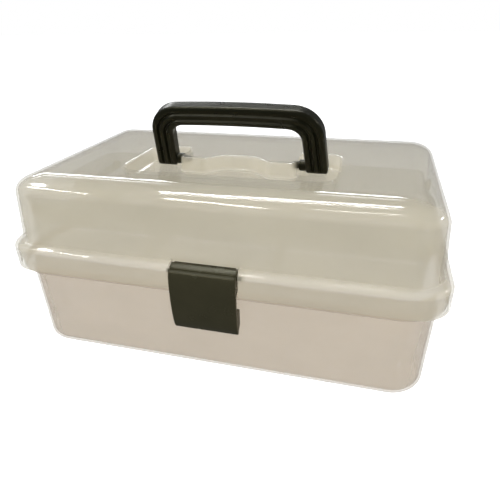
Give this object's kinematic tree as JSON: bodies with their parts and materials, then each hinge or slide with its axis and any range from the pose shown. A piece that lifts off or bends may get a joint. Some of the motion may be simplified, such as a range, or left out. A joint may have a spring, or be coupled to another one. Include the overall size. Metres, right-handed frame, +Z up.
{
  "type": "sewing box",
  "caption": "Translucent plastic sewing box with a deep domed lid, folding carry handle, front latch and cantilever trays that rise on arms as the lid opens.",
  "frame": {"origin": "middle of the box's flat underside, between the base walls", "axes": "+X along the box to its right end seen from the latch, +Y to the hinge at the rear, +Z up"},
  "size_m": [0.33, 0.2131, 0.19],
  "materials": {
    "clear_base": "translucent moulded polypropylene, warm tint",
    "clear_lid": "translucent moulded polypropylene, polished",
    "clear_tray": "thin translucent moulded polypropylene",
    "clear_fittings": "natural translucent polypropylene",
    "dark_handle": "satin gloss, ridged front",
    "dark_latch": "satin gloss"
  },
  "bodies": {
    "base": {"base_tub": "clear_base", "hinge_pin_left": "clear_fittings", "hinge_pin_right": "clear_fittings", "base_studs": "clear_fittings"},
    "lid": {"lid": "clear_lid", "latch_pin": "dark_latch", "lid_studs": "clear_fittings"},
    "handle": {"handle": "dark_handle"},
    "latch": {"latch": "dark_latch"},
    "front_arms": {"front_arm_left": "clear_fittings", "front_arm_right": "clear_fittings"},
    "rear_arms": {"rear_arm_left": "clear_fittings", "rear_arm_right": "clear_fittings", "arm_link_studs": "clear_fittings"},
    "lid_links": {"lid_link_left": "clear_fittings", "lid_link_right": "clear_fittings"},
    "lower_tray": {"lower_tray": "clear_tray", "lower_tray_studs": "clear_fittings", "lower_divider_front_left": "clear_tray", "lower_divider_front_right": "clear_tray", "lower_divider_rear_left": "clear_tray", "lower_divider_rear_right": "clear_tray"},
    "upper_tray": {"upper_tray": "clear_tray", "upper_tray_studs": "clear_fittings", "upper_divider_front_left": "clear_tray", "upper_divider_front_right": "clear_tray", "upper_divider_rear_left": "clear_tray", "upper_divider_rear_right": "clear_tray"}
  },
  "joints": [
    {"name": "lid_hinge", "type": "hinge", "parent": "base", "child": "lid", "pos_m": [0, 0.1045, 0.078], "axis": [-1, 0, 0], "range_deg": [0, 100]},
    {"name": "front_arm_swing", "type": "hinge", "parent": "base", "child": "front_arms", "pos_m": [0, -0.008, 0.076], "axis": [-1, 0, 0], "range_deg": [0, 100]},
    {"name": "rear_arm_swing", "type": "hinge", "parent": "base", "child": "rear_arms", "pos_m": [0, 0.05, 0.076], "axis": [-1, 0, 0], "range_deg": [0, 100]},
    {"name": "lower_tray_level", "type": "hinge", "parent": "rear_arms", "child": "lower_tray", "pos_m": [0, 0.02257, 0.09248], "axis": [-1, 0, 0], "range_deg": [-100, 0]},
    {"name": "upper_tray_level", "type": "hinge", "parent": "rear_arms", "child": "upper_tray", "pos_m": [0, -0.01172, 0.11308], "axis": [-1, 0, 0], "range_deg": [-100, 0]},
    {"name": "lid_link_level", "type": "hinge", "parent": "rear_arms", "child": "lid_links", "pos_m": [0, 0.00902, 0.10801], "axis": [-1, 0, 0], "range_deg": [-100, 0]},
    {"name": "handle_fold", "type": "hinge", "parent": "lid", "child": "handle", "pos_m": [0, 0, 0.1405], "axis": [1, 0, 0], "range_deg": [-20, 70]},
    {"name": "latch_swing", "type": "hinge", "parent": "lid", "child": "latch", "pos_m": [0, -0.098, 0.0884], "axis": [-1, 0, 0], "range_deg": [0, 100]}
  ],
  "couplings": [
    {"joint": "front_arm_swing", "follows": "lid_hinge", "ratio": 1},
    {"joint": "rear_arm_swing", "follows": "lid_hinge", "ratio": 1},
    {"joint": "lower_tray_level", "follows": "lid_hinge", "ratio": -1},
    {"joint": "upper_tray_level", "follows": "lid_hinge", "ratio": -1},
    {"joint": "lid_link_level", "follows": "lid_hinge", "ratio": -1}
  ]
}
